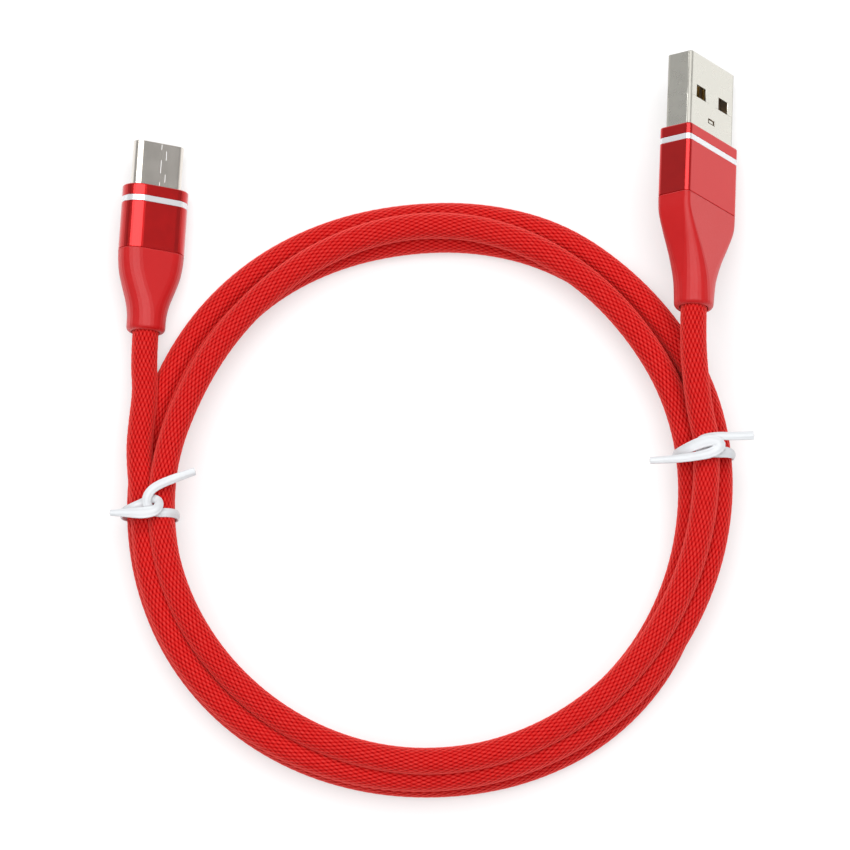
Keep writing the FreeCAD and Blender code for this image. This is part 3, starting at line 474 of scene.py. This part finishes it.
def makeCord(look, finish):
    inside, out = look["inBoot"], -look["firstRun"]
    points = [boundFor(devicePlug, inside), boundFor(devicePlug, out)]
    points += fromCentre(deviceLead + coilPoints(look) + hostLead[::-1])
    points += [boundFor(hostPlug, out), boundFor(hostPlug, inside)]
    line = splineLine(points, look["smoothness"])
    length = lineLength(line)
    around = 2 * braid["strands"]
    rowStep = math.pi * look["diameter"] / (around * braid["pitch"]) * mm
    rows = round(length / rowStep)
    line = evenLine(line, rows)
    radius = look["diameter"] / 2

    def profile(ring, side):
        turn = 2 * math.pi * side / around
        relief = -look["slit"] if (ring + side) % 2 == 0 else look["crown"]
        reach = (radius + relief) * mm
        return reach * math.cos(turn), reach * math.sin(turn)

    bm = sweep(line, around, profile)
    piece = addPiece("braided_cord", bm, finish, crease=180)
    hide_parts("cord_coil", "device_lead", "host_lead")
    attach(piece, "cable")
    tuple(boundFor(devicePlug, 0))
    [tuple(point) for point in line[:: look["pathStep"]] + [line[-1]]]
    print("cord", round(length, 4), "m,", rows, "rows")


# Each strand crosses the others of the other hand, and a slit shows at each corner of a crossing

def braidFinish(look, name, onCord=True):
    weave = Finish(name, Roughness=0.75, Specular_IOR_Level=0.05, Specular_Tint=(1, 0.15, 0.12, 1))
    girth = math.pi * cord["diameter"]
    if onCord:
        around, along = weave.axes(weave.node("ShaderNodeUVMap", {"uv_map": "wrap"}))[:2]
        along = along / (2 * look["strands"] * look["pitch"])
    else:
        x, y, z = weave.axes(weave.place())
        around, along = (x + z) / (girth * mm), y / (girth * mm)
    right = (around + along * look["pitch"]) * look["strands"]
    left = (around - along * look["pitch"]) * look["strands"]
    offRight = (right + 0.5) % 1 - 0.5
    offLeft = (left + 0.5) % 1 - 0.5
    spacing = girth / look["strands"] / 2
    across = (offRight + offLeft) * spacing / look["slitSize"][0]
    lengthwise = (offRight - offLeft) * spacing / look["pitch"] / look["slitSize"][1]
    slit = (across * across + lengthwise * lengthwise).between(*look["slitEdge"], 1.0, 0.0)
    crown = abs((right * math.pi).sine()) * abs((left * math.pi).sine())
    hand = (right.floor() + left.floor()) % 2
    acrossStrand = left * hand + right * (1 - hand)
    threads = abs((acrossStrand * math.pi * look["threads"]).sine())
    patches = weave.noise(0.9, 3)
    deep = weave.noise(1.6, 2).between(0.35, 0.6, 0.45, 1.0)
    # painted shading: the strands lighter on their crowns and darker where they dip
    shade = weave.mix(crown, paint(*look["low"]), paint(*look["high"]))
    # painted highlights along the threads on the crowns, in random patches
    shade = weave.mix(threads * crown * look["threadShare"] * patches, shade, paint(*look["thread"]))
    # painted shade in the slits, stronger in random patches
    shade = weave.mix(slit * deep, shade, paint(*look["slit"]))
    # painted sheen, lighter on the sides turned away from the eye
    rim = weave.turnedAway(look["paintedSheenFrom"], look["paintedSheenFull"], look["paintedSheenShare"])
    weave.set("Base Color", weave.mix(rim, shade, paint(*look["rim"])))
    height = crown ** look["flatness"] + threads * look["threadRelief"] - slit * look["slitRelief"]
    weave.bump(height, look["relief"])
    return weave


# Twist ties: a white ribbon with a steel wire in its core, hooked on itself over the cord

tie = {
    "widths": {  # from the first end to the last one
        "left": [(0, 1.2), (0.08, 1.35), (0.3, 1.4), (0.82, 1.35), (0.9, 1.8), (0.95, 1.35), (1, 0.9)],
        "right": [
            (0, 1.35), (0.1, 1.3), (0.2, 1.8), (0.3, 1.35),
            (0.62, 1.4), (0.75, 1.8), (0.88, 1.4), (1, 1.05),
        ],
    },
    "thickness": 0.72,
    "wings": 0.5,  # thickness near the ribbon's edges
    "core": 0.36,  # half the width of the round middle, over the wire
    "wire": 0.2,
    "wireOut": 0.08,  # how far the wire stands out of each cut end
    "flatness": 0.5,  # 1 gives an oval section, and less a squarer one
    "ringStep": 0.3,
    "sides": 20,
    "wireSides": 10,
    "smoothness": 12,  # steps from one point of the route to the next
}
tieMiddle = {"left": (-42.2, -4.5, 5.4), "right": (42.4, 4.4, 6.4)}  # of the laps that each tie holds
tiePoints = {  # from the coil's centre
    "left": [
        (-34.9, 1.7, 10.6), (-38.4, 0.4, 11.2), (-41.6, -1.2, 11.4), (-42.4, -3.2, 11.0),
        (-41.1, -4.6, 10.1), (-38.9, -4.5, 9.9), (-37.6, -4.3, 7.8), (-37.7, -3.9, 3.0),
        (-39.7, -3.6, 0.8), (-44.2, -3.5, 0.8), (-46.1, -3.7, 3.0), (-46.2, -4.0, 7.4),
        (-45.0, -3.9, 9.6), (-42.8, -3.0, 10.0), (-41.3, -2.3, 10.1), (-40.1, -2.9, 10.6),
        (-40.5, -4.5, 11.4), (-42.4, -4.9, 11.5), (-45.1, -4.8, 11.0), (-47.6, -4.7, 10.5),
    ],
    "right": [
        (49.7, 6.9, 12.4), (46.6, 6.7, 12.6), (44.0, 6.9, 12.1), (41.6, 6.5, 11.1), (41.4, 5.1, 10.9),
        (43.4, 4.5, 11.6), (45.7, 4.6, 11.2), (46.8, 4.7, 9.0), (46.9, 5.2, 6.0), (46.7, 5.6, 3.0),
        (44.6, 5.8, 0.8), (40.4, 5.8, 0.8), (38.1, 5.6, 3.0), (37.9, 5.2, 6.0), (38.0, 4.7, 9.2),
        (39.3, 4.9, 11.4), (41.3, 5.7, 12.2), (43.6, 6.2, 12.8), (45.0, 5.3, 13.0), (43.5, 4.1, 12.9),
        (41.0, 3.5, 13.0), (37.6, 3.1, 12.7), (34.0, 3.0, 12.4),
    ],
}


def makeTie(hand, look, coating, steel):
    line = splineLine(fromCentre(tiePoints[hand]), look["smoothness"])
    line = evenLine(line, round(lineLength(line) / (look["ringStep"] * mm)))
    stations = [(at * (len(line) - 1), wide) for at, wide in look["widths"][hand]]

    def ribbon(ring, side):
        turn = 2 * math.pi * side / look["sides"]
        x, rise = math.cos(turn), math.sin(turn)
        width = smoothThrough(stations, ring)
        middle = math.exp(-((x * width / 2 / look["core"]) ** 4))
        thick = look["wings"] + (look["thickness"] - look["wings"]) * middle
        flat = math.copysign(abs(rise) ** look["flatness"], rise)
        return width / 2 * x * mm, thick / 2 * flat * mm

    def strand(ring, side):
        turn = 2 * math.pi * side / look["wireSides"]
        return look["wire"] * math.cos(turn) * mm, look["wire"] * math.sin(turn) * mm

    faced = fromCentre([tieMiddle[hand]])[0]
    piece = addPiece(f"{hand}_twist_tie", sweep(line, look["sides"], ribbon, faced), coating)
    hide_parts(f"{hand}_tie_coating")
    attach(piece, "cable")
    core = line[1:-1]
    core[0] = line[0] + (line[0] - line[1]).normalized() * look["wireOut"] * mm
    core[-1] = line[-1] + (line[-1] - line[-2]).normalized() * look["wireOut"] * mm
    wire = addPiece(f"{hand}_twist_wire", sweep(core, look["wireSides"], strand), steel)
    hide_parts(f"{hand}_tie_wire")
    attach(wire, "cable")
    print(hand, "tie made")


def tieFinish():
    white = Finish("tieWhite", Roughness=0.38, Specular_IOR_Level=0.5, Coat_Weight=0.1, Coat_Roughness=0.2)
    cloud = white.noise(0.5, 3)
    white.set("Base Color", white.mix(cloud, paint(200, 203, 206), paint(211, 214, 217)))
    white.bump(white.noise(2.5, 3), 0.02)
    return white


# Boots: soft round-ended mouldings that swell from the cord to the sleeve

boots = {
    "host": {
        "plug": hostPlug, "length": 16.7, "end": 6.06, "width": 13.6, "height": 5.8, "corner": 0.8,
        "shape": [(0, 0), (0.155, 0.05), (0.32, 0.31), (0.52, 0.67), (0.72, 0.915), (0.89, 0.985), (1, 1)],
    },
    "device": {
        "plug": devicePlug, "length": 12.6, "end": 6.0, "width": 10.6, "height": 5.4, "corner": 2.68,
        "shape": [(0, 0), (0.15, 0.06), (0.3, 0.2), (0.457, 0.47), (0.64, 0.815), (0.8, 0.98), (1, 1)],
    },
}
bootEdge = {
    "lip": 0.7,
    "lipSteps": 6,
    "bore": 4.3,
    "boreDepth": 1.6,
    "flare": 0.3,  # how much wider the bore's mouth is
    "flareDepth": 0.2,
    "dip": 0.02,  # how deep the ring of that mouth lies
    "seam": 0.14,  # rounding at the sleeve
    "face": 0.8,  # how far in from the side the end's last ring lies
    "flat": 0.01,  # the least that a corner leaves of half a side
    "leastFlat": 0.001,  # and in the round rings
    "sharpening": 0.8,  # under 1, the corners turn sharp sooner than the sides spread
    "rings": 44,
}


def makeBoot(name, look, edge, finish):
    end, lip = look["end"], edge["lip"]
    bore, mouth = edge["bore"], edge["bore"] + edge["flare"]
    rings = [(bore, bore, bore / 2, level) for level in (edge["boreDepth"], edge["flareDepth"])]
    rings.append((mouth, mouth, mouth / 2, edge["dip"]))
    for k in range(edge["lipSteps"] + 1):
        turn = math.radians(90 * k / edge["lipSteps"])
        size = end - 2 * lip * (1 - math.sin(turn))
        rings.append((size, size, size / 2, lip * (1 - math.cos(turn))))
    start = lip / look["length"]
    for k in range(1, edge["rings"] + 1):
        at = start + (1 - start) * k / edge["rings"]
        share = max(0, 1 - smoothThrough(look["shape"], 1 - at))
        width = end + (look["width"] - end) * share
        height = end + (look["height"] - end) * share
        corner = end / 2 + (look["corner"] - end / 2) * share ** edge["sharpening"]
        corner = min(corner, height / 2 - edge["flat"], width / 2 - edge["flat"])
        rings.append((width, height, corner, look["length"] * at))
    seam = edge["seam"]
    rings[-1] = (look["width"], look["height"], look["corner"], look["length"] - seam)
    for inset, level in ((0.4 * seam, -0.4 * seam), (seam, 0), (edge["face"], 0)):
        width, height = look["width"] - 2 * inset, look["height"] - 2 * inset
        rings.append((width, height, look["corner"], look["length"] + level))
    least = edge["leastFlat"]
    rings = [(w, h, min(c, h / 2 - least, w / 2 - least), z) for w, h, c, z in rings]
    piece = addPiece(f"{name}_boot_moulding", stackRings(rings, plugPlace(look["plug"])), finish)
    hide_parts(f"{name}_boot")
    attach(piece, "cable")
    print(name, "boot made")


def bootFinish():
    red = Finish("bootRed", Roughness=0.4, Specular_IOR_Level=0.35)
    cloud = red.noise(0.35, 3)
    shade = red.mix(cloud, paint(177, 16, 18), paint(185, 22, 24))
    # painted sheen: a lighter pink on the faces turned away from the eye
    red.set("Base Color", red.mix(red.turnedAway(0.22, 0.6), shade, paint(206, 69, 69)))
    red.set("Roughness", red.noise(3.0, 4).between(0.3, 0.7, 0.36, 0.46))
    red.bump(red.noise(6.0, 3), 0.012)
    return red


# Sleeves with a bright band in their groove, and the plated shells, in each plug's own millimetres

sleeves = {
    "host": {
        "plug": hostPlug, "back": 16.7, "front": 27.9, "width": 13.6, "height": 5.8, "corner": 0.8,
        "mouth": (12.1, 4.6, 0.55), "room": (12.1, 4.6, 0.55),
    },
    "device": {
        "plug": devicePlug, "back": 12.6, "front": 22.7, "width": 10.6, "height": 5.4, "corner": 2.69,
        "mouth": (8.35, 2.5, 1.24), "room": (9.6, 4.4, 2.19),
    },
}
sleeveEdge = {
    "round": 0.25,
    "roundSteps": 4,
    "frontWall": 1.2,
    "seam": 0.12,  # rounding at the boot
    "step": 0.08,  # between the rings that keep the sides straight beside an edge
    "hold": 0.1,
    "ledge": 0.01,
}
band = {"setback": 1.8, "width": 0.95, "bed": 0.3, "gap": 0.01, "lip": 0.03, "round": 0.06}


def ringIn(look, inset, level):
    corner = max(look["corner"] - inset, 0.05)
    return look["width"] - 2 * inset, look["height"] - 2 * inset, corner, level


def makeSleeve(name, look, edge, finish):
    back, front, bevel = look["back"], look["front"], edge["round"]
    grooveFront = front - band["setback"]
    grooveBack = grooveFront - band["width"]
    seam, step = edge["seam"], edge["step"]
    insets = [(seam, back), (seam / 4, back + seam / 3), (0, back + seam), (0, back + seam + step)]
    insets += [(0, grooveBack - 2 * step), (0, grooveBack - step), (band["lip"], grooveBack)]
    insets += [(band["bed"], grooveBack), (band["bed"], grooveFront)]
    insets += [(band["lip"], grooveFront), (0, grooveFront + step), (0, grooveFront + 2 * step)]
    insets.append((0, front - bevel - edge["hold"]))
    for k in range(edge["roundSteps"] + 1):
        turn = math.radians(90 * k / edge["roundSteps"])
        insets.append((bevel * (1 - math.cos(turn)), front - bevel * (1 - math.sin(turn))))
    rings = [ringIn(look, inset, level) for inset, level in insets]
    rings += [(*look["mouth"], level) for level in (front, front - edge["frontWall"])]
    rings += [(*look["room"], level) for level in (front - edge["frontWall"] - edge["ledge"], back)]
    rings.append(rings[0])
    piece = addPiece(f"{name}_anodised_sleeve", stackRings(rings, plugPlace(look["plug"]), 12), finish)
    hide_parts(f"{name}_sleeve")
    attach(piece, "cable")


def makeBand(name, look, finish):
    front = look["front"] - band["setback"] - band["gap"]
    back = front - band["width"] + 2 * band["gap"]
    bevel = band["round"]
    insets = [(band["bed"], back), (bevel, back), (bevel * 0.3, back + bevel * 0.3), (0, back + bevel)]
    insets += [(0, back + 2 * bevel), (0, front - 2 * bevel), (0, front - bevel)]
    insets += [(bevel * 0.3, front - bevel * 0.3), (bevel, front), (band["bed"], front)]
    rings = [ringIn(look, inset, level) for inset, level in insets]
    piece = addPiece(f"{name}_band", stackRings(rings + rings[:1], plugPlace(look["plug"]), 12), finish)
    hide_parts(f"{name}_trim_ring")
    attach(piece, "cable")


hostShell = {
    "width": 12.0, "height": 4.5, "corner": 0.5, "wall": 0.3, "back": 22.4, "mouth": 40.2, "edge": 0.06,
    "windows": {"half": 1.25, "off": 3.0, "from": 7.16, "to": 5.16},  # levels are back from the mouth
    "slot": {"half": 0.9, "from": 10.35, "to": 9.55},  # round the pressed tab, in the upper face alone
    "tab": {"width": 1.05, "length": 0.46, "thickness": 0.16, "sunk": 0.05, "tilt": 8},
    "roughShade": (0.7, 1.2),  # rounded long edges are rougher, with painted shade, up to these shares of the corner's radius
}
deviceShell = {
    "width": 8.25, "height": 2.4, "corner": 1.19, "wall": 0.28, "back": 19.2, "mouth": 29.9, "round": 0.12,
    "roundSteps": 4,
    "seam": [  # runs of the rolled shell's seam, with a painted highlight: how far across, and from and to, back from the mouth
        (-0.03, 0.15, 1.12), (-0.88, 1.12, 2.68), (-0.08, 2.68, 4.83), (-0.9, 4.83, 6.2), (-0.05, 6.2, 7.4),
    ],
    "seamHalf": (0.01, 0.08),  # half of the painted highlight's width, where it is brightest and where it ends
    "seamEnd": 0.08,  # length over which a run fades out
    "seamAbove": (0.5, 0.6),  # it shows above this height, in the upper face
}


def cutAcross(bm, point, normal):
    everything = bm.verts[:] + bm.edges[:] + bm.faces[:]
    bmesh.ops.bisect_plane(bm, geom=everything, plane_co=point, plane_no=normal)


def makeHostShell(look, finish):
    rim = look["edge"]
    full = look["width"], look["height"], look["corner"]
    rings = [(*full, look["back"]), (*full, look["mouth"] - 3 * rim), (*full, look["mouth"] - rim)]
    rings.append((full[0] - rim, full[1] - rim, full[2] - rim / 2, look["mouth"]))
    bm = stackRings(rings, Matrix.Identity(4), 10, 2, capped=False)
    holes = []
    window, slot = look["windows"], look["slot"]
    for side in (-1, 1):
        middle = side * window["off"]
        left, right = middle - window["half"], middle + window["half"]
        holes.append((left, right, window["from"], window["to"], -look["height"]))
    holes.append((-slot["half"], slot["half"], slot["from"], slot["to"], 0))
    for left, right, start, end, _ in holes:
        for x in (left, right):
            cutAcross(bm, (x, 0, 0), (1, 0, 0))
        for level in (look["mouth"] - start, look["mouth"] - end):
            cutAcross(bm, (0, 0, level), (0, 0, 1))
    inHoles = []
    for face in bm.faces:
        x, y, level = face.calc_center_median()
        setback = look["mouth"] - level
        if any(a < x < b and d < setback < c and y > low for a, b, c, d, low in holes):
            inHoles.append(face)
    bmesh.ops.delete(bm, geom=inHoles, context="FACES")
    bmesh.ops.solidify(bm, geom=bm.faces[:], thickness=look["wall"])
    sharp = [edge for edge in bm.edges if edge.calc_face_angle(0) > math.radians(60)]
    bmesh.ops.bevel(bm, geom=sharp, offset=rim, segments=2, profile=0.5, affect="EDGES", material=-1)
    tab = look["tab"]
    level = look["mouth"] - (slot["from"] + slot["to"]) / 2
    high = full[1] / 2 - tab["sunk"] - tab["thickness"]
    place = Matrix.Translation((0, high, level)) @ turned(tab["tilt"], "X")
    size = Matrix.Diagonal((tab["width"], tab["thickness"], tab["length"], 1))
    bmesh.ops.create_cube(bm, size=1, matrix=place @ size)
    for face in bm.faces:
        face.tag = max(abs(c) for c in face.normal) > 0.999  # square to the plug's own axes
    bm.transform(plugPlace(hostPlug))
    piece = addPiece("host_plated_shell", bm, finish)
    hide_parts("host_shell")
    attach(piece, "cable")
    print("host shell made")


def makeDeviceShell(look, finish):
    bevel, wall, steps = look["round"], look["wall"], look["roundSteps"]
    insets = [(0, look["back"]), (0, look["mouth"] - 2 * bevel)]
    for k in range(2 * steps + 1):
        turn = math.radians(90 * k / steps)
        inset = bevel * (1 - math.cos(turn)) + (wall - 2 * bevel) * (k > steps)
        insets.append((inset, look["mouth"] - bevel * (1 - math.sin(turn))))
    insets.append((wall, look["back"]))
    rings = [ringIn(look, inset, level) for inset, level in insets]
    bm = stackRings(rings + rings[:1], plugPlace(devicePlug), 14)
    piece = addPiece("device_plated_shell", bm, finish)
    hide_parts("device_shell")
    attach(piece, "cable")
    print("device shell made")


def seamHighlightIn(made):
    # a painted highlight on the edge of the rolled shell's seam, in the upper face
    look = deviceShell
    x, y, level = made.inPlug(devicePlug)
    setback = look["mouth"] - level
    within = 0
    for across, start, end in look["seam"]:
        beside = abs(x - across).between(*look["seamHalf"], 1.0, 0.0)
        started = setback.between(start, start + look["seamEnd"])
        goesOn = setback.between(end - look["seamEnd"], end, 1.0, 0.0)
        within = beside * (started * goesOn) + within
    return within * y.between(*look["seamAbove"])


def hostCornersIn(made):
    # the host shell's rounded long edges, where painted shade dims the highlight
    x, y = made.inPlug(hostPlug)[:2]
    wide, high = hostShell["width"] / 2, hostShell["height"] / 2
    end, start = (share * hostShell["corner"] for share in hostShell["roughShade"])
    return abs(x).between(wide - start, wide - end) * abs(y).between(high - start, high - end)


# Finishes of the CAD nodes

paintedEdgeShade = {"colour": (140, 138, 132), "share": 0.5, "rougher": 0.3}  # painted shade, with more roughness, where a plate's highlight is dimmed


def metal(name, colour, roughness, grain=0.0, coat=0.0, spread=0.03, share=1.0, edges=None, roughShade=None):
    # share is how much of it reflects as bare metal does; edges gives the lines with a painted highlight,
    # and the last mask gives where it is rougher, with painted shade that dims its highlight
    made = Finish(name, Metallic=share, Coat_Weight=coat, Coat_Roughness=0.2)
    cloud = made.noise(0.6, 3)
    grains = made.noise(2.5, 2, (1, 0.1, 1))
    dark = tuple(c * (1 - spread) for c in colour[:3]) + (1,)
    shade = made.mix(cloud * 0.5 + grains * 0.5, dark, colour)
    if edges:
        # a painted highlight: white and not metallic, along the lines that edges gives
        paintedHighlight = edges(made)
        shade = made.mix(paintedHighlight, shade, paint(252, 252, 252))
        made.set("Metallic", 1 - paintedHighlight)
    rough = cloud.between(0.25, 0.75, roughness - 0.02, roughness + 0.02)
    # painted shade that dims the highlight where the mask is, with more roughness
    if roughShade:
        paintedShadeMask = roughShade(made)
        shade = made.mix(paintedShadeMask * paintedEdgeShade["share"], shade, paint(*paintedEdgeShade["colour"]))
        rough = rough + paintedShadeMask * paintedEdgeShade["rougher"]
    made.set("Base Color", shade)
    made.set("Roughness", rough)
    if grain:
        made.bump(grains, grain)
    return made


def plastic(name, colour, roughness, spread=0.08, grain=0.01):
    made = Finish(name)
    cloud = made.noise(0.5, 3)
    dark = tuple(c * (1 - spread) for c in colour[:3]) + (1,)
    made.set("Base Color", made.mix(cloud, dark, colour))
    made.set("Roughness", made.noise(3.0, 3).between(0.3, 0.7, roughness - 0.05, roughness + 0.05))
    made.bump(made.noise(6.0, 2), grain)
    return made


setCamera(camera)
makeCord(cord, braidFinish(braid, "braidRed"))
finishes = {
    "braid": braidFinish(braid, "braidEnd", onCord=False),
    "boot_plastic": bootFinish(),
    "sleeve_metal": metal("sleeveRed", paint(204, 13, 15), 0.32, coat=0.75),
    "trim_metal": metal("trimBright", paint(232, 233, 236), 0.16, share=0.45),
    "host_shell_metal": metal(
        "hostShellPlate", paint(220, 218, 209), 0.28, spread=0.012, roughShade=hostCornersIn
    ),
    "device_shell_metal": metal("deviceShellPlate", paint(231, 225, 217), 0.22, edges=seamHighlightIn),
    "host_insulator_plastic": plastic("hostTongue", paint(124, 102, 80), 0.4),
    "device_insulator_plastic": plastic("deviceTongue", paint(30, 30, 32), 0.45),
    "contact_plating": metal("contactGold", paint(232, 196, 120), 0.22, grain=0.003),
    "spring_steel": metal("springSteel", paint(205, 205, 208), 0.3, grain=0.004),
    "board_laminate": plastic("boardGreen", paint(26, 92, 48), 0.35),
    "resistor_body": plastic("resistorBlack", paint(24, 24, 26), 0.4),
    "inner_plastic": plastic("innerMould", paint(222, 222, 216), 0.5),
    "ferrule_metal": metal("crimpBrass", paint(222, 190, 126), 0.3, grain=0.006),
    "tie_plastic": tieFinish(),
    "tie_steel": metal("tieWire", paint(176, 176, 178), 0.35, grain=0.004),
    "wire_red": plastic("wireRed", paint(190, 30, 30), 0.4),
    "wire_white": plastic("wireWhite", paint(228, 228, 226), 0.4),
    "wire_green": plastic("wireGreen", paint(34, 130, 62), 0.4),
    "wire_black": plastic("wireBlack", paint(28, 28, 30), 0.4),
}
for part in frame["record"]["subparts"]:
    node = frame["nodes"][part["node"]]
    node.data.materials.clear()
    node.data.materials.append(finishes[part["material_slot"]].owner)
print("finishes set")

for hand in tiePoints:
    makeTie(hand, tie, finishes["tie_plastic"], finishes["tie_steel"])
for name, look in boots.items():
    makeBoot(name, look, bootEdge, finishes["boot_plastic"])
for name, look in sleeves.items():
    makeSleeve(name, look, sleeveEdge, finishes["sleeve_metal"])
    makeBand(name, look, finishes["trim_metal"])
print("sleeves and bands made")
makeHostShell(hostShell, finishes["host_shell_metal"])
makeDeviceShell(deviceShell, finishes["device_shell_metal"])
setFloor(studio)
setBackdrop(studio)
setSoftbox(studio)
scene.view_settings.view_transform = "Standard"
print("studio set")
